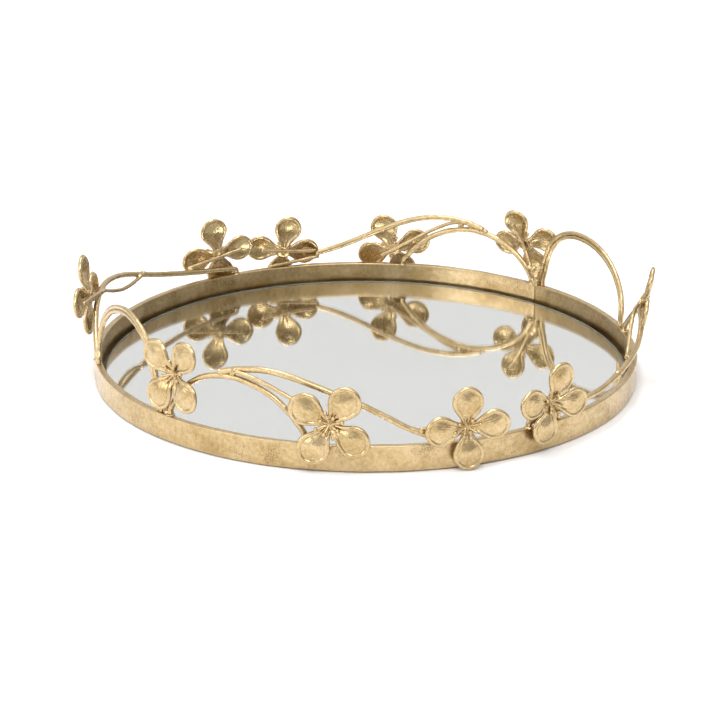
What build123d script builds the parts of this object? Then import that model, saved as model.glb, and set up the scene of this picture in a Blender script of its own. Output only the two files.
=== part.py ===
"""Round mirrored vanity tray: a flat-bar hoop, a low mirror and a welded vine with ten blossoms.

Frame: millimetres, +Z up. The origin is the centre of the felt face that the tray stands on.
Azimuths are degrees about +Z from +X, so the front of the tray is at -90 and the back at 90.
The vine's route points are (azimuth, radius, height), and each half of the vine runs from its
handle, counterclockwise, to the bend that carries its corner blossom.
"""
from build123d import *
import math
import os

# ---- tray -------------------------------------------------------------------------------------
RIM_OUTER_R = 203.0        # 16 inch hoop
RIM_BAR_T = 5.0            # flat bar thickness
RIM_BAR_H = 19.0           # flat bar width, stood on edge
RIM_EDGE_BREAK = 0.6       # rounded arrises of the bar
FELT_T = 1.0
FELT_INSET = 6.0           # felt stops this far inside the hoop's inner wall
PLATE_T = 1.2
TAPE_T = 1.0
TAPE_SIDE = 30.0
TAPE_RING_R = 130.0
TAPE_COUNT = 8
SILVER_T = 0.2
GLASS_T = 3.0
GLASS_R = 194.6
GLASS_SEAM = 0.5           # ground arris on the mirror's edge

# ---- vine -------------------------------------------------------------------------------------
MAIN_ROD_D = 4.2
HANDLE_ROD_D = 3.2
STEM_ROD_D = 2.8
HANDLE_ROD_GAP = 0.1       # between the handle's paired rods
FOOT_RISE = 4.0            # upright stretch of each rod above the hoop
BEND_SHARE = 0.45          # share of the shorter run that an arc may use
WELD_LEG = 1.5

# ---- blossoms ---------------------------------------------------------------------------------
PETAL_L = 30.0             # blossom centre to petal tip
PETAL_W = 19.8
PETAL_T = 1.2
LIP_RISE = 0.45            # lip's centre above the middle of the sheet
FLARE = 5.0                # degrees that each petal leans towards the blossom's face
CROWN_AT = 18.0            # highest point of the blade, from the blossom's centre
NECK_START = 3.6           # petals start this far from the blossom's centre
NECK_HALF_W = 2.6
DOME_R = 34.0              # the blade is domed towards the blossom's face
LIP_R = 1.5                # rolled lip round each petal
HUB_R = 5.0
HUB_H = 2.6
STAMEN_COUNT = 8
STAMEN_R = 0.85
STAMEN_TIP_R = 1.35
STAMEN_LENGTHS = (9.6, 7.6, 10.2, 8.4)
STAMEN_LIFTS = (18.0, 30.0, 22.0, 38.0)     # degrees above the petal plane
STALK_R = 1.8
STALK_L = 1.4

RIM_INNER_R = RIM_OUTER_R - RIM_BAR_T
RIM_TOP = FELT_T + RIM_BAR_H
PLATE_TOP = FELT_T + PLATE_T
TAPE_TOP = PLATE_TOP + TAPE_T
SILVER_TOP = TAPE_TOP + SILVER_T
GLASS_TOP = SILVER_TOP + GLASS_T

# Each blossom: azimuth, radius, height, turn about the vertical, tip-up, size, and its four
# petals' clock angles (0 up, clockwise from outside).
BLOSSOMS = {
    "front_blossom_1": (-131.9, 200.0, 52.4, 0, 4, 1.0, (38, 132, 214, 306)),
    "front_blossom_2": (-96.9, 204.6, 36.4, -1, 2, 1.03, (33, 122, 213, 304)),
    "front_blossom_3": (-70.2, 205.0, 31.3, -6, 0, 0.98, (0, 85, 177, 267)),
    "front_blossom_4": (-51.0, 205.0, 36.8, -2, 0, 0.97, (19, 99, 203, 280)),
    "front_blossom_5": (-4.0, 203.8, 59.5, -2, -9, 0.96, (0, 88, 180, 272)),
    "back_blossom_1": (52.0, 204.4, 49.0, 8, 14, 0.93, (24, 101, 199, 286)),
    "back_blossom_2": (83.9, 204.6, 30.6, 1, 12, 0.98, (23, 112, 201, 287)),
    "back_blossom_3": (109.2, 204.6, 31.0, -8, 10, 0.96, (-13, 82, 175, 263)),
    "back_blossom_4": (126.0, 200.6, 39.2, -13, 12, 0.97, (13, 109, 191, 273)),
    "back_blossom_5": (177.5, 206.0, 56.6, -8, -4, 1.0, (0, 90, 180, 270)),
}

HANDLES = {
    "front": [
        (-168.5, 200.8, RIM_TOP), (-169.5, 200.2, 29), (-169.6, 198.8, 42), (-167.5, 196.8, 55),
        (-163.2, 194.6, 67), (-158.2, 193.6, 74), (-152.8, 193.2, 77.5), (-148.4, 193.4, 75.5),
        (-144.6, 194.2, 70), (-141.4, 195.4, 61), (-139.2, 197.4, 46), (-137.2, 199.2, 32),
        (-136.6, 200.0, RIM_TOP),
    ],
    "back": [
        (14.2, 200.8, RIM_TOP), (14.4, 201.6, 31), (15.9, 202.6, 42), (18.6, 203.2, 51),
        (22.4, 203.8, 59), (27.2, 204.2, 65.5), (32.4, 204.4, 69), (37.4, 204.4, 69),
        (41.2, 204.2, 64.5), (43.8, 203.8, 56), (45.2, 203.2, 45), (45.8, 202.4, 33),
        (46.2, 201.0, RIM_TOP),
    ],
}

VINE_RODS = {
    # the arch leaves the hoop beside the handle and comes down under the second blossom
    "front_arch_rod": [
        (-133.6, 199.2, RIM_TOP), (-132.4, 199.2, 32), (-129.2, 198.8, 46), (-124.8, 198.2, 56.5),
        (-118.6, 198.0, 61), (-112.8, 198.0, 57.5), (-108.2, 198.4, 49.5), (-104.8, 199.0, 39),
        (-102.4, 199.6, 28), (-101.8, 199.8, RIM_TOP),
    ],
    "back_arch_rod": [
        (48.6, 199.0, RIM_TOP), (50.0, 197.6, 34), (53.4, 196.6, 44.5), (58.4, 195.8, 53),
        (64.6, 195.4, 56.5), (70.4, 195.8, 52.6), (75.2, 196.6, 45.2), (78.8, 197.6, 34),
        (80.8, 198.8, 26), (81.4, 199.2, RIM_TOP),
    ],
    # the long rod leaves the arch's crown and runs down to the third blossom
    "front_vine_rod": [
        (-121.0, 198.0, 61.6), (-117.2, 197.8, 66.2), (-110.6, 197.6, 69.3), (-104.6, 197.8, 66),
        (-98.4, 198.2, 59), (-92.2, 198.6, 51), (-86.8, 199.2, 42), (-81.8, 200.4, 32),
        (-77.4, 202.2, 26),
    ],
    "back_vine_rod": [
        (61.6, 195.4, 57.6), (64.6, 195.0, 60.8), (69.0, 194.6, 63.6), (74.8, 194.8, 62.8),
        (80.2, 195.4, 58.6), (86.0, 196.6, 50.4), (91.6, 198.0, 41.4), (96.4, 200.0, 34),
        (101.4, 202.4, 28.6),
    ],
    # the corner rod rises under the fourth blossom and bends over at the fifth
    "front_corner_rod": [
        (-55.4, 200.8, RIM_TOP), (-53.0, 201.0, 25), (-46.4, 201.4, 27.0), (-39.8, 202.0, 28.0),
        (-33.6, 202.5, 28.8), (-25.8, 203.5, 32.7), (-18.7, 204.5, 36.9), (-13.4, 205.1, 40.2),
        (-9.8, 205.4, 45.8), (-7.0, 205.0, 51.2), (-3.6, 204.0, 53.0), (0.4, 202.2, 50.0),
        (4.2, 201.2, 41.4), (8.2, 200.8, 31.6), (10.8, 200.6, RIM_TOP),
    ],
    "back_corner_rod": [
        (121.6, 199.4, RIM_TOP), (124.4, 199.6, 25.4), (131.4, 199.8, 28.0), (139.6, 200.4, 32.8),
        (147.8, 201.4, 39.6), (154.6, 202.4, 47), (161.0, 203.0, 52.4), (167.6, 203.2, 54.8),
        (173.8, 202.8, 52.4), (178.8, 202.2, 46.6), (183.0, 201.8, 39.2), (186.6, 201.4, 31),
        (189.2, 201.0, RIM_TOP),
    ],
}

STEM_RODS = {
    "front_blossom_1_stem": [[
        (-135.0, 198.0, RIM_TOP), (-134.2, 198.2, 34), (-133.0, 198.4, 50), (-131.4, 198.6, 66),
    ]],
    "front_blossom_2_stem": [[
        (-117.8, 199.6, 65.8), (-114.4, 200.4, 64.6), (-109.8, 201.0, 60), (-104.6, 201.6, 52),
        (-98.6, 202.4, 40), (-93.6, 202.6, 28),
    ]],
    "front_blossom_3_stem": [
        [(-79.4, 203.6, 31.6), (-69.6, 202.8, 31), (-62.4, 203.0, 32.6)],
        [(-73.0, 200.6, RIM_TOP), (-72.6, 201.2, 25), (-70.4, 202.8, 33), (-69.4, 203.0, 45)],
    ],
    "front_blossom_4_stem": [
        [(-56.4, 203.0, 38), (-49.8, 202.8, 36.4), (-43.2, 203.4, 34.8)],
        [(-47.4, 200.4, RIM_TOP), (-47.6, 201.0, 26), (-49.2, 202.6, 33.4)],
    ],
    "front_blossom_5_stem": [[
        (-20.6, 202.2, 38.0), (-18.2, 200.8, 41.0), (-16.0, 200.2, 50.6), (-13.4, 199.9, 58.4),
        (-10.2, 200.0, 62.2), (-6.6, 201.0, 61.2), (-3.4, 203.0, 59.0), (0.6, 204.6, 56.4),
    ]],
    "back_blossom_1_stem": [[
        (47.8, 198.6, RIM_TOP), (49.0, 199.4, 33), (51.2, 201.4, 47), (52.8, 200.0, 58),
        (54.0, 197.6, 66),
    ]],
    "back_blossom_2_stem": [[
        (64.2, 196.4, 58.8), (67.0, 197.2, 60.6), (70.4, 199.0, 58), (74.8, 200.8, 50), (80.4, 202.2, 38),
        (86.6, 203.4, 25.4),
    ]],
    "back_blossom_3_stem": [
        [(101.6, 203.8, 30.4), (108.2, 202.6, 31.6), (114.6, 203.0, 34.6)],
        [(101.0, 202.8, 25.6), (106.4, 201.4, 23.2), (112.8, 200.8, 21.0)],
    ],
    "back_blossom_4_stem": [[
        (134.2, 202.6, 32.2), (127.4, 199.2, 36.2), (120.6, 196.4, 41.2),
    ]],
    "back_blossom_5_stem": [[
        (149.6, 199.6, 43.6), (155.3, 199.4, 40.0), (160.2, 199.4, 40.6), (166.1, 199.5, 46.3),
        (172.8, 200.0, 54.6), (178.4, 203.6, 56.6), (184.2, 210.0, 58.0),
    ]],
}


def at(azimuth, radius, height):
    """Cartesian point of a polar one."""
    angle = math.radians(azimuth)
    return Vector(radius * math.cos(angle), radius * math.sin(angle), height)


def with_upright_feet(route):
    """Add an upright stretch wherever a route starts or ends on the hoop."""
    points = list(route)
    if points[0][2] == RIM_TOP:
        azimuth, radius, height = points[0]
        points.insert(1, (azimuth, radius, height + FOOT_RISE))
    if points[-1][2] == RIM_TOP:
        azimuth, radius, height = points[-1]
        points.insert(-1, (azimuth, radius, height + FOOT_RISE))
    return points


def bent_path(points):
    """Straight runs joined by tangent arcs, each as large as its two runs allow."""
    radii = []
    for before, corner, after in zip(points, points[1:], points[2:]):
        arriving = corner - before
        leaving = after - corner
        turn = math.radians(arriving.get_angle(leaving))
        radii.append(BEND_SHARE * min(arriving.length, leaving.length) / math.tan(turn / 2))
    if not radii:
        return Line(*points)
    return FilletPolyline(*points, radius=radii)


def rod(points, diameter):
    path = bent_path(points)
    section = Plane(path @ 0, z_dir=path % 0) * Circle(diameter / 2)
    return sweep(section, path=path)


def polar_rod(route, diameter):
    return rod([at(*point) for point in with_upright_feet(route)], diameter)


def handle_side(route, offset):
    """A handle rod's route, set off sideways within the cylinder that the handle lies on."""
    points = with_upright_feet(route)
    shifted = []
    for index, (azimuth, radius, height) in enumerate(points):
        before = points[max(index - 1, 0)]
        after = points[min(index + 1, len(points) - 1)]
        along = math.radians(after[0] - before[0]) * radius
        rise = after[2] - before[2]
        length = math.hypot(along, rise)
        side_azimuth = math.degrees(-rise / length * offset / radius)
        shifted.append(at(azimuth + side_azimuth, radius, height + along / length * offset))
    return shifted


def weld_bead(azimuth, radius, rod_diameter):
    """Fillet of weld metal round a rod's foot."""
    inner = rod_diameter / 2
    foot = at(azimuth, radius, RIM_TOP)
    outline = Polyline((inner, 0), (inner + WELD_LEG, 0), (inner, WELD_LEG), close=True)
    section = make_face(Plane.XZ * outline)
    return Pos(foot) * revolve(section, Axis.Z)


def petal_outline():
    """Half of a petal's edge, from the neck to the tip: (along, across)."""
    half_w = PETAL_W / 2
    return [
        (NECK_START, NECK_HALF_W),
        (0.30 * PETAL_L, 0.46 * half_w),
        (0.50 * PETAL_L, 0.86 * half_w),
        (0.69 * PETAL_L, half_w),
        (0.89 * PETAL_L, 0.70 * half_w),
        (PETAL_L, 0.0),
    ]


def dome_drop(along, across):
    """How far the domed blade lies below its crown."""
    from_crown = (along - CROWN_AT) ** 2 + across ** 2
    return DOME_R - math.sqrt(DOME_R ** 2 - from_crown)


def blade_height(along, across):
    """Height of the blade's middle surface above the plane of the petals' necks."""
    return dome_drop(NECK_START, 0) - dome_drop(along, across)


def petal():
    """Domed petal with a rolled lip, its neck towards the origin and its tip along +X."""
    half = petal_outline()
    edge = half + [(along, -across) for along, across in reversed(half[:-1])]
    flat_edge = Spline(*[(along, across, 0) for along, across in edge])
    neck_line = Line(flat_edge @ 1, flat_edge @ 0)
    outline = make_face([flat_edge, neck_line])
    prism = Pos(0, 0, -DOME_R / 4) * extrude(outline, DOME_R / 2)
    dome_centre = Pos(CROWN_AT, 0, dome_drop(NECK_START, 0) - DOME_R)
    shell = dome_centre * (Sphere(DOME_R + PETAL_T / 2) - Sphere(DOME_R - PETAL_T / 2))
    lip_points = [(x, y, blade_height(x, y) + LIP_RISE) for x, y in edge]
    lip_path = Spline(*lip_points)
    lip_section = Plane(lip_path @ 0, z_dir=lip_path % 0) * Circle(LIP_R)
    return (shell & prism) + sweep(lip_section, path=lip_path)


def stamens():
    """Hub, stalk and a spray of ball-tipped stamens, facing +Z."""
    cluster = Cylinder(HUB_R, HUB_H)
    cluster += Pos(0, 0, -STALK_L / 2) * Cylinder(STALK_R, STALK_L)
    cluster += Pos(0, 0, -STALK_L) * Sphere(STALK_R)
    for index in range(STAMEN_COUNT):
        length = STAMEN_LENGTHS[index % len(STAMEN_LENGTHS)]
        lift = STAMEN_LIFTS[index % len(STAMEN_LIFTS)]
        turn = index * 360.0 / STAMEN_COUNT + 17.0
        aim = Rot(0, 0, turn) * Rot(0, 90 - lift, 0)
        cluster += aim * Pos(0, 0, length / 2) * Cylinder(STAMEN_R, length)
        cluster += aim * Pos(0, 0, length) * Sphere(STAMEN_TIP_R)
    return cluster


def blossom_plane(azimuth, radius, height, turn, tip_up):
    """Plane of a blossom: its z points where the blossom faces, and its x points up."""
    outward = at(azimuth + turn, 1, 0)
    level = at(azimuth + turn + 90, 1, 0)
    lift = math.radians(tip_up)
    faces = outward * math.cos(lift) + Vector(0, 0, math.sin(lift))
    return Plane(at(azimuth, radius, height), x_dir=faces.cross(level), z_dir=faces)


def tray_parts():
    felt_r = RIM_INNER_R - FELT_INSET
    hoop_section = Pos(RIM_OUTER_R - RIM_BAR_T / 2, 0, FELT_T + RIM_BAR_H / 2) * (
        Plane.XZ * RectangleRounded(RIM_BAR_T, RIM_BAR_H, RIM_EDGE_BREAK)
    )
    glass = Pos(0, 0, SILVER_TOP + GLASS_T / 2) * Cylinder(GLASS_R, GLASS_T)
    tapes = [
        Rot(0, 0, index * 360.0 / TAPE_COUNT)
        * Pos(TAPE_RING_R, 0, PLATE_TOP + TAPE_T / 2)
        * Box(TAPE_SIDE, TAPE_SIDE, TAPE_T)
        for index in range(TAPE_COUNT)
    ]
    return {
        "rim_hoop": revolve(hoop_section, Axis.Z),
        "base_plate": Pos(0, 0, FELT_T + PLATE_T / 2) * Cylinder(RIM_INNER_R, PLATE_T),
        "felt_base": Pos(0, 0, FELT_T / 2) * Cylinder(felt_r, FELT_T),
        "mirror_tape_pads": Compound(tapes),
        "mirror_silvering": Pos(0, 0, TAPE_TOP + SILVER_T / 2) * Cylinder(GLASS_R, SILVER_T),
        "mirror_glass": chamfer(glass.edges(), GLASS_SEAM),
    }


def vine_parts():
    parts = {}
    side = (HANDLE_ROD_D + HANDLE_ROD_GAP) / 2
    for half, route in HANDLES.items():
        parts[f"{half}_handle_outer_rod"] = rod(handle_side(route, side), HANDLE_ROD_D)
        parts[f"{half}_handle_inner_rod"] = rod(handle_side(route, -side), HANDLE_ROD_D)
    for name, route in VINE_RODS.items():
        parts[name] = polar_rod(route, MAIN_ROD_D)
    for name, routes in STEM_RODS.items():
        parts[name] = Compound([polar_rod(route, STEM_ROD_D).solid() for route in routes])
    return parts


def weld_parts():
    """Weld beads round the feet of the main rods, one group for each half."""
    groups = {"front": [], "back": []}
    for name, route in VINE_RODS.items():
        for azimuth, radius, height in (route[0], route[-1]):
            if height == RIM_TOP:
                groups[name.split("_")[0]].append(weld_bead(azimuth, radius, MAIN_ROD_D))
    return {f"{half}_weld_beads": Compound(beads) for half, beads in groups.items()}


def blossom_parts():
    parts = {}
    one_petal = petal().solid()
    one_spray = stamens().solid()
    for name, (azimuth, radius, height, turn, tip_up, size, clock_angles) in BLOSSOMS.items():
        place = blossom_plane(azimuth, radius, height, turn, tip_up).location
        sized_petal = scale(one_petal, by=size)
        petals = [place * Rot(0, 0, -angle) * Rot(0, -FLARE, 0) * sized_petal for angle in clock_angles]
        parts[f"{name}_petals"] = Compound(petals)
        parts[f"{name}_stamens"] = place * scale(one_spray, by=size)
    return parts


os.makedirs("parts", exist_ok=True)
for maker in (tray_parts, vine_parts, weld_parts, blossom_parts):
    for node, shape in maker().items():
        export_step(shape, f"parts/{node}.step")
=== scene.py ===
"""Looks of the round mirrored vanity tray: gilded hoop and vine, mirror, plate and felt.

Metres, +Z up, in the CAD frame: the origin is the centre of the felt face that the tray stands on,
and the front of the tray looks along -Y.
"""
import math

import bmesh
import bpy
import numpy as np
from mathutils import Matrix, Vector
from mathutils.bvhtree import BVHTree


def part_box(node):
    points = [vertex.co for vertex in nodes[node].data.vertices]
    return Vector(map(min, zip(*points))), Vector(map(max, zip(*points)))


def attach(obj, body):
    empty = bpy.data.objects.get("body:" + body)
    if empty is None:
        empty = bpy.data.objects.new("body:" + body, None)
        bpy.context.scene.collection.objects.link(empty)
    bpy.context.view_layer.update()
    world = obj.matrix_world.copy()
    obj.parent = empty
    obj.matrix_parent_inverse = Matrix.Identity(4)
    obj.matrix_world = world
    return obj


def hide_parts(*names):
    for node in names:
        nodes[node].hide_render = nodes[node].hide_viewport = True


MM = 0.001

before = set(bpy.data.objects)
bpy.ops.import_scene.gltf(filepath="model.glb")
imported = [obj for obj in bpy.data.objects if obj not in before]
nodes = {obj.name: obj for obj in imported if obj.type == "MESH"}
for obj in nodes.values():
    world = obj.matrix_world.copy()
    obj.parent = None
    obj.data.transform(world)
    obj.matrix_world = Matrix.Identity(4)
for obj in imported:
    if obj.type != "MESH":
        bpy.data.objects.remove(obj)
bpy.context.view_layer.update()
scene = bpy.context.scene
scene.view_settings.view_transform = "Standard"

# ---- camera -----------------------------------------------------------------------------------
CAMERA_DISTANCE = 2.257
CAMERA_ELEVATION = math.radians(20.32)
CAMERA_ROLL = math.radians(0.3)
CAMERA_CLIP_END = 50.0
FOCAL_MM = 150.0
SENSOR_MM = 36.0
SHIFT_X = -0.0081
SHIFT_Y = 0.0138
TARGET = Vector((0.0, 0.0, 1.0 * MM))


def add_camera():
    """Camera in front of the tray and above it, at the photo's angle."""
    data = bpy.data.cameras.new("camera")
    data.lens = FOCAL_MM
    data.sensor_width = SENSOR_MM
    data.shift_x = SHIFT_X
    data.shift_y = SHIFT_Y
    data.clip_end = CAMERA_CLIP_END
    camera = bpy.data.objects.new("camera", data)
    scene.collection.objects.link(camera)
    rise = math.sin(CAMERA_ELEVATION)
    reach = math.cos(CAMERA_ELEVATION)
    axes = Matrix((Vector((1, 0, 0)), Vector((0, rise, reach)), Vector((0, -reach, rise))))
    place = axes.transposed().to_4x4() @ Matrix.Rotation(CAMERA_ROLL, 4, "Z")
    place.translation = TARGET + CAMERA_DISTANCE * Vector((0, -reach, rise))
    camera.matrix_world = place
    scene.camera = camera


# ---- node helpers -----------------------------------------------------------------------------
MIX_FACTOR, MIX_FIRST, MIX_SECOND = 0, 6, 7  # inputs of a colour Mix node
MIX_RESULT = 2  # its colour output


def grey(level):
    return (level, level, level)


class Tree:
    """Short spellings for the nodes of one material or world."""

    def __init__(self, tree):
        self.tree = tree

    def add(self, kind, **settings):
        node = self.tree.nodes.new(kind)
        for name, value in settings.items():
            setattr(node, name, value)
        return node

    def link(self, source, target):
        self.tree.links.new(source, target)

    def noise(self, coords, scale, detail=4.0, roughness=0.55, distortion=0.0):
        node = self.add("ShaderNodeTexNoise")
        node.inputs["Scale"].default_value = scale
        node.inputs["Detail"].default_value = detail
        node.inputs["Roughness"].default_value = roughness
        node.inputs["Distortion"].default_value = distortion
        self.link(coords, node.inputs["Vector"])
        return node.outputs["Fac"]

    def ramp(self, factor, stops):
        node = self.add("ShaderNodeValToRGB")
        elements = node.color_ramp.elements
        while len(elements) < len(stops):
            elements.new(0.5)
        for element, (position, colour) in zip(elements, stops):
            element.position = position
            element.color = (*colour, 1.0)
        self.link(factor, node.inputs["Fac"])
        return node.outputs["Color"]

    def mix(self, factor, first, second, blend="MIX"):
        node = self.add("ShaderNodeMix", data_type="RGBA", blend_type=blend)
        for value, index in ((factor, MIX_FACTOR), (first, MIX_FIRST), (second, MIX_SECOND)):
            socket = node.inputs[index]
            if isinstance(value, float):
                socket.default_value = value
            elif isinstance(value, tuple):
                socket.default_value = (*value, 1.0)
            else:
                self.link(value, socket)
        return node.outputs[MIX_RESULT]

    def map_range(self, value, span, onto):
        node = self.add("ShaderNodeMapRange")
        sockets = ("From Min", "From Max", "To Min", "To Max")
        for socket, number in zip(sockets, (*span, *onto)):
            node.inputs[socket].default_value = number
        self.link(value, node.inputs["Value"])
        return node.outputs["Result"]

    def bump(self, height, strength, distance, below=None):
        node = self.add("ShaderNodeBump")
        node.inputs["Strength"].default_value = strength
        node.inputs["Distance"].default_value = distance
        self.link(height, node.inputs["Height"])
        if below is not None:
            self.link(below, node.inputs["Normal"])
        return node.outputs["Normal"]


def new_material(name):
    """Material with its Tree, its shader and its object coordinates."""
    material = bpy.data.materials.new(name)
    material.use_nodes = True
    tree = Tree(material.node_tree)
    shader = material.node_tree.nodes["Principled BSDF"]
    coords = tree.add("ShaderNodeTexCoord").outputs["Object"]
    return material, tree, shader, coords


# ---- gilding ----------------------------------------------------------------------------------
LEAF_LIGHT = (0.60, 0.45, 0.245)
LEAF_MID = (0.48, 0.345, 0.162)
LEAF_DEEP = (0.36, 0.232, 0.080)
# Dark ground showing in worn specks; the same colour is also the painted shade in hollows
LEAF_WORN_AND_SHADE = (0.13, 0.08, 0.026)
# Colour of the painted shade low on the hoop's inner wall
LEAF_WALL_SHADE = (0.34, 0.205, 0.063)
LEAF_STOPS = [(0.34, LEAF_DEEP), (0.47, LEAF_MID), (0.60, LEAF_LIGHT)]
LACQUER_WEIGHT = 0.5
LACQUER_ROUGHNESS = 0.2

NOISE_SPAN = (0.3, 0.7)  # where nearly all of a noise's values lie
PATCH_SHARE = 0.5
SPECK_FINENESS = 3.1
CLUSTER_FINENESS = 1.7
CLUSTER_SHARE = 0.42
WORN_SOFTNESS = 0.05
# Pointiness spans for the painted highlight on raised edges and the painted shade in hollows
RAISED_POINTINESS = (0.50, 0.56)
RAISED_HIGHLIGHT = (0.0, 0.75)
SUNK_POINTINESS = (0.49, 0.45)
MOTTLE_BUMP_SHARE = 0.6
MOTTLE_BUMP_DEPTH = 0.25 * MM
SPECK_BUMP_DEPTH = 0.12 * MM

HOOP_INNER_R = 198 * MM
WALL_FADE = (0.4 * MM, 1.2 * MM)
# Painted shade on the inner wall: the heights over which it grows, and how its clouds are spread
WALL_SHADE_HEIGHTS = (17 * MM, 6 * MM)
WALL_SHADE_BY_HEIGHT = (0.1, 1.0)
WALL_SHADE_CLOUD_SPAN = (0.38, 0.62)
WALL_SHADE_CLOUDS = (0.15, 0.9)

# Noise scales per metre; grain is the bump's strength and crease the strength of the painted shade in
# hollows.
GILDING = {
    "hoop": dict(patch=28.0, mottle=340.0, worn_from=0.60, rough=(0.44, 0.26), grain=0.30,
                 crease=0.6, wall_r=HOOP_INNER_R),
    "petal": dict(patch=60.0, mottle=520.0, worn_from=0.64, rough=(0.36, 0.20), grain=0.12,
                  crease=0.85),
    "wire": dict(patch=70.0, mottle=480.0, worn_from=0.65, rough=(0.38, 0.22), grain=0.12,
                 crease=0.55),
}


def wall_shade(tree, coords, wall_r, clusters):
    """Painted shade: cloudy factor that grows down the hoop's inner wall."""
    flat = tree.add("ShaderNodeVectorMath", operation="MULTIPLY")
    tree.link(coords, flat.inputs[0])
    flat.inputs[1].default_value = (1.0, 1.0, 0.0)
    length = tree.add("ShaderNodeVectorMath", operation="LENGTH")
    tree.link(flat.outputs[0], length.inputs[0])
    fade = (wall_r + WALL_FADE[0], wall_r + WALL_FADE[1])
    inside = tree.map_range(length.outputs["Value"], fade, (1.0, 0.0))
    split = tree.add("ShaderNodeSeparateXYZ")
    tree.link(coords, split.inputs[0])
    low = tree.map_range(split.outputs["Z"], WALL_SHADE_HEIGHTS, WALL_SHADE_BY_HEIGHT)
    cloudy = tree.map_range(clusters, WALL_SHADE_CLOUD_SPAN, WALL_SHADE_CLOUDS)
    return tree.mix(1.0, tree.mix(1.0, inside, low, "MULTIPLY"), cloudy, "MULTIPLY")


def gilded(name, patch, mottle, worn_from, rough, grain, crease, wall_r=None):
    """Metal leaf over a dark ground: patches, mottling and rubbed specks, with a painted highlight on
    raised edges and painted shade in hollows.
    """
    material, tree, shader, coords = new_material(name)
    patches = tree.noise(coords, patch, detail=3.0, roughness=0.6, distortion=0.6)
    spots = tree.noise(coords, mottle, detail=6.0, roughness=0.68)
    tone = tree.ramp(tree.mix(PATCH_SHARE, patches, spots), LEAF_STOPS)
    specks = tree.noise(coords, mottle * SPECK_FINENESS, detail=5.0, roughness=0.75, distortion=0.3)
    clusters = tree.noise(coords, patch * CLUSTER_FINENESS, detail=3.0, roughness=0.6)
    speckle = tree.mix(CLUSTER_SHARE, specks, clusters)
    worn = tree.ramp(speckle, [
        (worn_from - WORN_SOFTNESS, grey(0.0)),
        (worn_from + WORN_SOFTNESS, grey(1.0)),
    ])
    tone = tree.mix(worn, tone, LEAF_WORN_AND_SHADE)
    pointiness = tree.add("ShaderNodeNewGeometry").outputs["Pointiness"]
    # Painted highlight: raised edges lightened towards the lightest leaf tone, by pointiness
    raised = tree.map_range(pointiness, RAISED_POINTINESS, RAISED_HIGHLIGHT)
    # Painted shade: hollows and creases darkened towards the worn colour, by pointiness
    crease_shade = tree.map_range(pointiness, SUNK_POINTINESS, (0.0, crease))
    tone = tree.mix(crease_shade, tone, LEAF_WORN_AND_SHADE)
    tone = tree.mix(raised, tone, LEAF_LIGHT)
    if wall_r:
        # Painted shade down the hoop's inner wall, broken into clouds
        tone = tree.mix(wall_shade(tree, coords, wall_r, clusters), tone, LEAF_WALL_SHADE)
    tree.link(tone, shader.inputs["Base Color"])
    tree.link(tree.map_range(spots, NOISE_SPAN, rough), shader.inputs["Roughness"])
    shader.inputs["Metallic"].default_value = 1.0
    shader.inputs["Coat Weight"].default_value = LACQUER_WEIGHT
    shader.inputs["Coat Roughness"].default_value = LACQUER_ROUGHNESS
    coarse = tree.bump(spots, MOTTLE_BUMP_SHARE * grain, MOTTLE_BUMP_DEPTH)
    tree.link(tree.bump(specks, grain, SPECK_BUMP_DEPTH, coarse), shader.inputs["Normal"])
    return material


# ---- other materials --------------------------------------------------------------------------
# noise: scale per metre and character; stops: the two tones that the noise runs between;
# rough: roughness over NOISE_SPAN; bump: strength and depth; inputs: the shader's own sockets.
SURFACES = {
    "mirror_silver": dict(
        noise=dict(scale=9.0, detail=2.0),
        stops=[(0.3, (0.855, 0.855, 0.845)), (0.7, (0.875, 0.872, 0.862))],
        rough=(0.004, 0.014),
        inputs={"Metallic": 1.0},
    ),
    "clear_glass": dict(
        noise=dict(scale=6.0, detail=1.0),
        stops=[(0.2, (0.975, 0.985, 0.975)), (0.8, (0.985, 0.99, 0.985))],
        inputs={"Transmission Weight": 1.0, "Roughness": 0.0, "IOR": 1.5},
    ),
    "ground_glass": dict(
        noise=dict(scale=900.0, detail=4.0),
        stops=[(0.3, (0.26, 0.29, 0.25)), (0.7, (0.42, 0.45, 0.40))],
        bump=(0.4, 0.08 * MM),
        inputs={"Roughness": 0.45},
    ),
    "bronzed_steel": dict(
        noise=dict(scale=45.0, detail=5.0, roughness=0.65),
        stops=[(0.35, (0.075, 0.055, 0.03)), (0.65, (0.20, 0.145, 0.07))],
        rough=(0.62, 0.42),
        bump=(0.3, 0.2 * MM),
        inputs={"Metallic": 0.7},
    ),
    "felt": dict(
        noise=dict(scale=1400.0, detail=6.0, roughness=0.8, distortion=1.2),
        lumps=dict(scale=160.0, detail=3.0),
        stops=[(0.3, (0.012, 0.011, 0.010)), (0.7, (0.045, 0.042, 0.038))],
        bump=(0.8, 0.35 * MM),
        inputs={"Roughness": 0.95, "Sheen Weight": 0.35},
    ),
    "tape_foam": dict(
        noise=dict(scale=1100.0, detail=5.0, roughness=0.7),
        stops=[(0.3, (0.55, 0.54, 0.50)), (0.7, (0.74, 0.73, 0.69))],
        bump=(0.6, 0.2 * MM),
        inputs={"Roughness": 0.8},
    ),
    "studio_floor": dict(
        noise=dict(scale=1.5, detail=2.0),
        stops=[(0.2, (0.95, 0.95, 0.955)), (0.8, (0.97, 0.97, 0.975))],
        inputs={"Roughness": 0.9, "Specular IOR Level": 0.2},
    ),
}
LUMP_SHARE = 0.5


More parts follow.
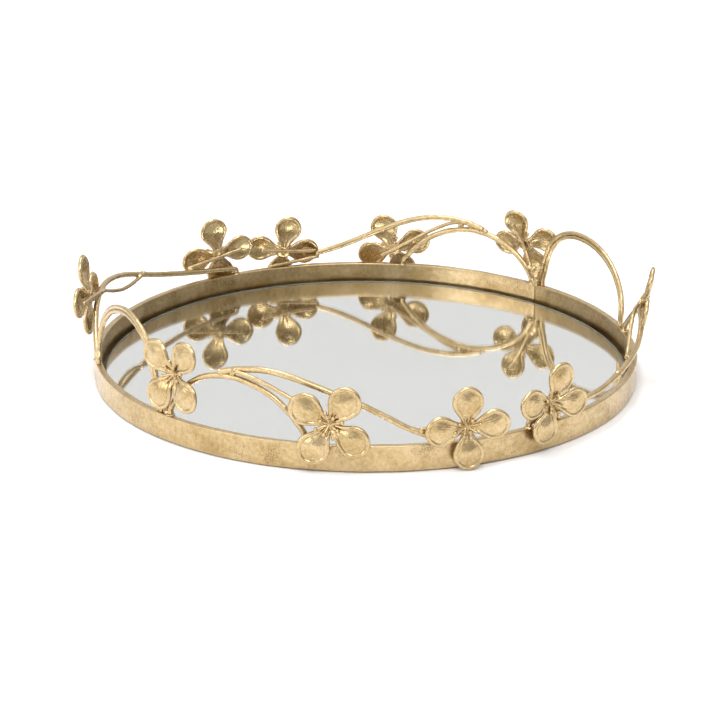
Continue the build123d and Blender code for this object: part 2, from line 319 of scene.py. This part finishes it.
def surface(name):
    """Material from its row of SURFACES."""
    row = SURFACES[name]
    material, tree, shader, coords = new_material(name)
    shade = tree.noise(coords, **row["noise"])
    if "lumps" in row:
        shade = tree.mix(LUMP_SHARE, shade, tree.noise(coords, **row["lumps"]))
    tree.link(tree.ramp(shade, row["stops"]), shader.inputs["Base Color"])
    if "rough" in row:
        tree.link(tree.map_range(shade, NOISE_SPAN, row["rough"]), shader.inputs["Roughness"])
    if "bump" in row:
        tree.link(tree.bump(shade, *row["bump"]), shader.inputs["Normal"])
    for socket, value in row["inputs"].items():
        shader.inputs[socket].default_value = value
    return material


def recolour(name, material):
    """Give a CAD node, whose shape is right as it is, a better material."""
    for slot in nodes[name].material_slots:
        slot.material = material


# ---- mesh helpers -----------------------------------------------------------------------------
LEAF_COVER = 0.15 * MM
SOFTEN_FACTOR = 0.5


def hand_noise(name, size, depth):
    texture = bpy.data.textures.new(name, "CLOUDS")
    texture.noise_scale = size
    texture.noise_depth = depth
    return texture


def uneven(piece, texture, strength):
    """Push a piece's surface in and out by a texture, half each way."""
    displace = piece.modifiers.new("uneven", "DISPLACE")
    displace.texture = texture
    displace.texture_coords = "GLOBAL"
    displace.strength = strength
    displace.mid_level = 0.5


def thicken(piece, depth):
    """Grow a piece by the leaf and lacquer on it."""
    displace = piece.modifiers.new("thicken", "DISPLACE")
    displace.strength = depth
    displace.mid_level = 0.0


def baked(piece):
    """Apply the piece's modifiers and keep the result as its mesh."""
    bpy.context.view_layer.update()
    graph = bpy.context.evaluated_depsgraph_get()
    mesh = bpy.data.meshes.new_from_object(piece.evaluated_get(graph))
    piece.modifiers.clear()
    old = piece.data
    piece.data = mesh
    bpy.data.meshes.remove(old)
    mesh.name = piece.name


def linked_piece(name, mesh):
    piece = bpy.data.objects.new(name, mesh)
    scene.collection.objects.link(piece)
    return piece


def shade_smooth(mesh):
    for polygon in mesh.polygons:
        polygon.use_smooth = True


def organic(name, mesh, voxel, rounds, dents):
    """New piece: a mesh rebuilt evenly, softened, and made slightly uneven as if by hand."""
    piece = linked_piece(name, mesh)
    remesh = piece.modifiers.new("remesh", "REMESH")
    remesh.mode = "VOXEL"
    remesh.voxel_size = voxel
    soften = piece.modifiers.new("soften", "SMOOTH")
    soften.factor = SOFTEN_FACTOR
    soften.iterations = rounds
    for texture, strength in dents:
        uneven(piece, texture, strength)
    thicken(piece, LEAF_COVER)
    baked(piece)
    shade_smooth(piece.data)
    return piece


def vertices(mesh):
    points = np.empty(len(mesh.vertices) * 3)
    mesh.vertices.foreach_get("co", points)
    return points.reshape(-1, 3)


def set_vertices(mesh, points):
    mesh.vertices.foreach_set("co", points.ravel())
    mesh.update()


# ---- petals -----------------------------------------------------------------------------------
PETALS = 4
PLEAT_COUNT = 17
PLEAT_DEPTH = 0.55 * MM
PLEAT_REACH = 8.0 * MM
VEIN_COUNT = 64
VEIN_DEPTH = 0.10 * MM
VEIN_REACH = 2.2 * PLEAT_REACH
BULGE_HEIGHT = 1.1 * MM
BULGE_AT = 17 * MM
BULGE_REACH = 6.5 * MM
DIRECTION_ROUNDS = 8


def blossom_frame(name):
    """Centre of a blossom, the way it faces, and a direction across it."""
    petals = vertices(nodes[f"{name}_petals"].data)
    stamens = vertices(nodes[f"{name}_stamens"].data)
    middle = petals.mean(axis=0)
    _, _, axes = np.linalg.svd(petals - middle, full_matrices=False)
    across, _, facing = axes
    outward = np.array([middle[0], middle[1], 0.0])
    if facing @ outward < 0:
        facing = -facing
    return stamens.mean(axis=0), facing, across


def petal_directions(along_a, along_b):
    """Mean angle of each petal, found by sorting the outer points to the nearest petal."""
    distance = np.hypot(along_a, along_b)
    outer = distance > BULGE_AT
    angle = np.arctan2(along_b[outer], along_a[outer])
    first = angle[np.argmax(distance[outer])]
    means = first + np.arange(PETALS) * 2 * math.pi / PETALS
    for _ in range(DIRECTION_ROUNDS):
        apart = np.angle(np.exp(1j * (angle[:, None] - means[None, :])))
        nearest = np.abs(apart).argmin(axis=1)
        for petal in range(PETALS):
            means[petal] += apart[nearest == petal, petal].mean()
    return means


def pleat_petals(mesh, name):
    """Gather the petals' necks in folds that run out into faint veins, and dome the blades."""
    centre, facing, across = blossom_frame(name)
    points = vertices(mesh)
    offset = points - centre
    along_a = offset @ across
    along_b = offset @ np.cross(facing, across)
    angle = np.arctan2(along_b, along_a)
    distance = np.hypot(along_a, along_b)
    pleats = PLEAT_DEPTH * np.cos(PLEAT_COUNT * angle) * np.exp(-(distance / PLEAT_REACH) ** 2)
    veins = VEIN_DEPTH * np.cos(VEIN_COUNT * angle) * np.exp(-(distance / VEIN_REACH) ** 4)
    bulge = np.zeros(len(points))
    for direction in petal_directions(along_a, along_b):
        from_a = along_a - BULGE_AT * math.cos(direction)
        from_b = along_b - BULGE_AT * math.sin(direction)
        bulge += BULGE_HEIGHT * np.exp(-(np.hypot(from_a, from_b) / BULGE_REACH) ** 2)
    set_vertices(mesh, points + np.outer(pleats + veins + bulge, facing))


# ---- vine -------------------------------------------------------------------------------------
# How each kind of vine node is remade: voxel size, rounds of softening, depth of lumps and grain.
VINE_KINDS = {
    ("_petals",): dict(voxel=0.45 * MM, rounds=2, lump=0.45 * MM, grain=0.07 * MM, gilding="petal"),
    ("_stamens",): dict(voxel=0.35 * MM, rounds=3, lump=0.7 * MM, grain=0.1 * MM, gilding="wire"),
    ("_rod", "_stem", "_beads"): dict(voxel=0.5 * MM, rounds=3, lump=0.45 * MM, grain=0.08 * MM,
                                      gilding="wire"),
}
LUMP_SIZE = 6 * MM
GRAIN_SIZE = 1.4 * MM


def build_vine(materials):
    """One piece for each wire, weld group, petal set and stamen spray."""
    lumps = hand_noise("lumps", LUMP_SIZE, 1)
    grain = hand_noise("grain", GRAIN_SIZE, 2)
    pieces = {}
    for name, node in nodes.items():
        kind = next((row for endings, row in VINE_KINDS.items() if name.endswith(endings)), None)
        if kind is None:
            continue
        dents = [(lumps, kind["lump"]), (grain, kind["grain"])]
        piece = organic(f"{name}_leafed", node.data.copy(), kind["voxel"], kind["rounds"], dents)
        if name.endswith("_petals"):
            pleat_petals(piece.data, name.removesuffix("_petals"))
        piece.data.materials.clear()
        piece.data.materials.append(materials[kind["gilding"]])
        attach(piece, "root")
        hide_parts(name)
        pieces[name] = piece
    return pieces


# ---- welds ------------------------------------------------------------------------------------
WELD_REACH = 0.5 * MM
WELD_APART = 7 * MM
WELD_R = 2.5 * MM
WELD_SQUASH = 0.8
WELD_SQUASH_VARIES = 0.1
WELD_VOXEL = 0.35 * MM
WELD_ROUNDS = 2
SLAG_SIZE = 3 * MM
SLAG_DEPTH = 1.6 * MM

# Larger welds: azimuth in degrees, then distance from the axis, height and blob radius in
# millimetres, and the stretch upwards.
HEAVY_WELDS = {
    "front": [
        (-134.6, 199.0, 21.4, 2.9, 1.0),
        (-120.4, 198.0, 62.0, 2.6, 1.0),
        (-117.6, 198.4, 63.6, 2.1, 1.0),
        (-26.6, 203.2, 33.0, 2.4, 1.0),
    ],
    "back": [
        (47.3, 199.8, 22.4, 3.6, 1.1),
        (47.3, 199.6, 26.6, 3.2, 1.4),
        (48.2, 199.2, 31.0, 2.5, 1.5),
        (62.0, 195.4, 57.4, 2.4, 1.0),
        (60.9, 195.5, 56.0, 2.3, 1.0),
        (67.2, 195.6, 58.2, 2.3, 1.6),
        (66.6, 196.4, 61.0, 2.0, 1.0),
        (150.0, 200.6, 43.2, 2.1, 1.0),
    ],
}


def touching_places(piece, other):
    """Middles of the places where two pieces meet."""
    tree = BVHTree.FromPolygons(
        [v.co for v in other.data.vertices], [p.vertices for p in other.data.polygons])
    groups = []
    for vertex in piece.data.vertices:
        if tree.find_nearest(vertex.co, WELD_REACH)[0] is None:
            continue
        for group in groups:
            if (vertex.co - group[0]).length < WELD_APART:
                group.append(vertex.co)
                break
        else:
            groups.append([vertex.co])
    return [sum(group, Vector()) / len(group) for group in groups]


def weld_places(half, pieces):
    """Where the wires of a half join, each place once; a handle's rods lie side by side unwelded."""
    wires = [n for n in pieces if n.startswith(half) and n.endswith(("_rod", "_stem"))]
    places = []
    for index, name in enumerate(wires):
        for other in wires[index + 1:]:
            if "handle" in name and "handle" in other:
                continue
            for place in touching_places(pieces[name], pieces[other]):
                if all((place - known).length > WELD_APART for known in places):
                    places.append(place)
    return places


def add_blob(build, centre, radius, stretch):
    shape = Matrix.Translation(centre) @ Matrix.Diagonal((1.0, 1.0, stretch, 1.0))
    bmesh.ops.create_icosphere(build, subdivisions=3, radius=radius, matrix=shape)


def add_welds(half, pieces, material):
    """Blobs of weld metal where a half's wires join."""
    build = bmesh.new()
    for index, place in enumerate(weld_places(half, pieces)):
        add_blob(build, place, WELD_R, WELD_SQUASH + WELD_SQUASH_VARIES * math.sin(3.0 * index))
    for azimuth, radius, height, size, stretch in HEAVY_WELDS[half]:
        angle = math.radians(azimuth)
        centre = Vector((radius * math.cos(angle), radius * math.sin(angle), height)) * MM
        add_blob(build, centre, size * MM, stretch)
    mesh = bpy.data.meshes.new(f"{half}_weld_blobs")
    build.to_mesh(mesh)
    build.free()
    slag = hand_noise(f"{half}_slag", SLAG_SIZE, 2)
    piece = organic(f"{half}_weld_blobs", mesh, WELD_VOXEL, WELD_ROUNDS, [(slag, SLAG_DEPTH)])
    piece.data.materials.append(material)
    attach(piece, "root")


# ---- hoop -------------------------------------------------------------------------------------
HOOP_SEGMENTS = 1440
HOOP_ARRIS = 0.9 * MM
ARRIS_STEPS = 5
WALL_STEPS = 16
WALL_GAP = 8 * MM
EDGE_STEPS = 5
EDGE_GAP = 2 * MM
SEAM_AZIMUTH = math.radians(47.6)
SEAM_HALF_W = 0.6 * MM
SEAM_DEPTH = 0.35 * MM
HAMMER_SIZE = 22 * MM
HAMMER_DEPTH = 0.55 * MM
RIPPLE_SIZE = 3.5 * MM
RIPPLE_DEPTH = 0.14 * MM


def revolved(name, profile, segments, nudge):
    """Closed ring from a profile of (radius, height) points; nudge(angle, r) adds to the radius."""
    points = []
    for step in range(segments):
        angle = 2 * math.pi * step / segments
        for radius, height in profile:
            reach = radius + nudge(angle, radius)
            points.append((reach * math.cos(angle), reach * math.sin(angle), height))
    count = len(profile)
    faces = []
    for step in range(segments):
        here = step * count
        there = (step + 1) % segments * count
        for side in range(count):
            after = (side + 1) % count
            faces.append((here + side, there + side, there + after, here + after))
    mesh = bpy.data.meshes.new(name)
    mesh.from_pydata(points, [], faces)
    mesh.update()
    shade_smooth(mesh)
    return linked_piece(name, mesh)


def steps_along(gap):
    """How many steps a straight run of the hoop's section is cut into."""
    if gap > WALL_GAP:
        return WALL_STEPS
    return EDGE_STEPS if gap > EDGE_GAP else 1


def hoop_profile(inner_r, outer_r, bottom, top):
    """Flat bar's section with worn, rounded arrises, counterclockwise."""
    corners = [
        (outer_r - HOOP_ARRIS, bottom + HOOP_ARRIS, -90),
        (outer_r - HOOP_ARRIS, top - HOOP_ARRIS, 0),
        (inner_r + HOOP_ARRIS, top - HOOP_ARRIS, 90),
        (inner_r + HOOP_ARRIS, bottom + HOOP_ARRIS, 180),
    ]
    outline = []
    for radius, height, start in corners:
        for step in range(ARRIS_STEPS + 1):
            turn = math.radians(start + 90.0 * step / ARRIS_STEPS)
            outline.append((radius + HOOP_ARRIS * math.cos(turn), height + HOOP_ARRIS * math.sin(turn)))
    filled = []
    for (radius, height), (next_r, next_z) in zip(outline, outline[1:] + outline[:1]):
        steps = steps_along(math.hypot(next_r - radius, next_z - height))
        for step in range(steps):
            share = step / steps
            filled.append((radius + share * (next_r - radius), height + share * (next_z - height)))
    return filled


def build_hoop(material):
    """The hoop with its hand-worked face and the groove of its seam."""
    points = vertices(nodes["rim_hoop"].data)
    radii = np.hypot(points[:, 0], points[:, 1])
    inner_r = float(radii.min())
    outer_r = float(radii.max())
    profile = hoop_profile(inner_r, outer_r, float(points[:, 2].min()), float(points[:, 2].max()))

    def seam(angle, radius):
        """Groove of the hoop's butt weld on its inner wall."""
        if radius > inner_r + HOOP_ARRIS:
            return 0.0
        across = (angle - SEAM_AZIMUTH) * radius
        return SEAM_DEPTH * math.exp(-(across / SEAM_HALF_W) ** 2)

    piece = revolved("rim_hoop_leafed", profile, HOOP_SEGMENTS, seam)
    uneven(piece, hand_noise("hammer", HAMMER_SIZE, 1), HAMMER_DEPTH)
    uneven(piece, hand_noise("leaf_ripple", RIPPLE_SIZE, 2), RIPPLE_DEPTH)
    baked(piece)
    piece.data.materials.append(material)
    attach(piece, "root")
    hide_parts("rim_hoop")


# ---- mirror pane ------------------------------------------------------------------------------
GLASS_SEAM = 0.5 * MM
GLASS_LIFT = 0.03 * MM  # keeps the pane's underside off the silvering's face
GLASS_SEGMENTS = 720


def build_glass(clear, ground):
    """Mirror pane with a ground, seamed edge."""
    low, high = (Vector(corner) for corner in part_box("mirror_glass"))
    radius = high.x
    bottom = low.z + GLASS_LIFT
    profile = [
        (radius - GLASS_SEAM, bottom),
        (radius, bottom + GLASS_SEAM),
        (radius, high.z - GLASS_SEAM),
        (radius - GLASS_SEAM, high.z),
    ]
    build = bmesh.new()
    rings = []
    for reach, height in profile:
        ring = []
        for step in range(GLASS_SEGMENTS):
            angle = 2 * math.pi * step / GLASS_SEGMENTS
            ring.append(build.verts.new((reach * math.cos(angle), reach * math.sin(angle), height)))
        rings.append(ring)
    for lower, upper in zip(rings, rings[1:]):
        for step in range(GLASS_SEGMENTS):
            after = (step + 1) % GLASS_SEGMENTS
            face = build.faces.new((lower[step], lower[after], upper[after], upper[step]))
            face.material_index = 1
    build.faces.new(rings[0][::-1])
    build.faces.new(rings[-1])
    mesh = bpy.data.meshes.new("mirror_pane")
    build.to_mesh(mesh)
    build.free()
    mesh.materials.append(clear)
    mesh.materials.append(ground)
    piece = linked_piece("mirror_pane", mesh)
    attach(piece, "root")
    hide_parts("mirror_glass")


# ---- studio -----------------------------------------------------------------------------------
# Brightness of the room by height, from straight down (0) to straight up (1).
ROOM_STOPS = [(0.48, grey(1.0)), (0.53, grey(0.45)), (0.66, grey(0.48)), (0.78, grey(0.97)),
              (1.0, grey(1.0))]
ROOM_STRENGTH = 1.2
SIDE_SPAN = (-0.9, 0.9)
SIDE_LIGHT = (1.24, 0.80)
BACKDROP = (0.745, 0.74, 0.735)
BACKDROP_SPAN = (0.2, 0.8)

# Name, place, width, height and power in watts.
SOFTBOXES = [
    ("key", (-1.58, -1.02, 0.70), 1.9, 0.6, 10.0),
    ("front", (0.25, -1.45, 1.50), 1.0, 0.7, 12.0),
    ("top", (-0.3, 0.3, 2.2), 1.0, 0.7, 18.0),
]
SOFTBOX_AIM = Vector((0, 0, 0.03))
FLOOR_HALF = 4.0


def add_room():
    """Pale room: darker in a band above the horizon, brighter on the left, plain behind."""
    world = bpy.data.worlds.new("studio")
    scene.world = world
    world.use_nodes = True
    tree = Tree(world.node_tree)
    background = world.node_tree.nodes["Background"]
    split = tree.add("ShaderNodeSeparateXYZ")
    tree.link(tree.add("ShaderNodeTexCoord").outputs["Generated"], split.inputs[0])
    height = tree.map_range(split.outputs["Z"], (-1.0, 1.0), (0.0, 1.0))
    rounds = tree.ramp(height, ROOM_STOPS)
    behind = tree.map_range(split.outputs["Y"], BACKDROP_SPAN, (0.0, 1.0))
    side = tree.map_range(split.outputs["X"], SIDE_SPAN, SIDE_LIGHT)
    shade = tree.mix(behind, tree.mix(1.0, rounds, side, "MULTIPLY"), BACKDROP)
    tree.link(shade, background.inputs["Color"])
    background.inputs["Strength"].default_value = ROOM_STRENGTH


def add_softbox(name, place, width, height, power):
    data = bpy.data.lights.new(name, "AREA")
    data.shape = "RECTANGLE"
    data.size = width
    data.size_y = height
    data.energy = power
    light = bpy.data.objects.new(name, data)
    scene.collection.objects.link(light)
    light.location = place
    light.rotation_euler = (SOFTBOX_AIM - Vector(place)).to_track_quat("-Z", "Y").to_euler()


def add_floor():
    mesh = bpy.data.meshes.new("floor")
    corners = [(-1, -1), (1, -1), (1, 1), (-1, 1)]
    mesh.from_pydata([(x * FLOOR_HALF, y * FLOOR_HALF, 0) for x, y in corners], [], [(0, 1, 2, 3)])
    mesh.materials.append(surface("studio_floor"))
    floor = linked_piece("floor", mesh)


add_camera()
add_room()
for softbox in SOFTBOXES:
    add_softbox(*softbox)
add_floor()
gilding = {kind: gilded(f"gilded_{kind}", **settings) for kind, settings in GILDING.items()}
build_hoop(gilding["hoop"])
vine = build_vine(gilding)
for half in ("front", "back"):
    add_welds(half, vine, gilding["wire"])
build_glass(surface("clear_glass"), surface("ground_glass"))
recolour("mirror_silvering", surface("mirror_silver"))
recolour("mirror_tape_pads", surface("tape_foam"))
recolour("base_plate", surface("bronzed_steel"))
recolour("felt_base", surface("felt"))
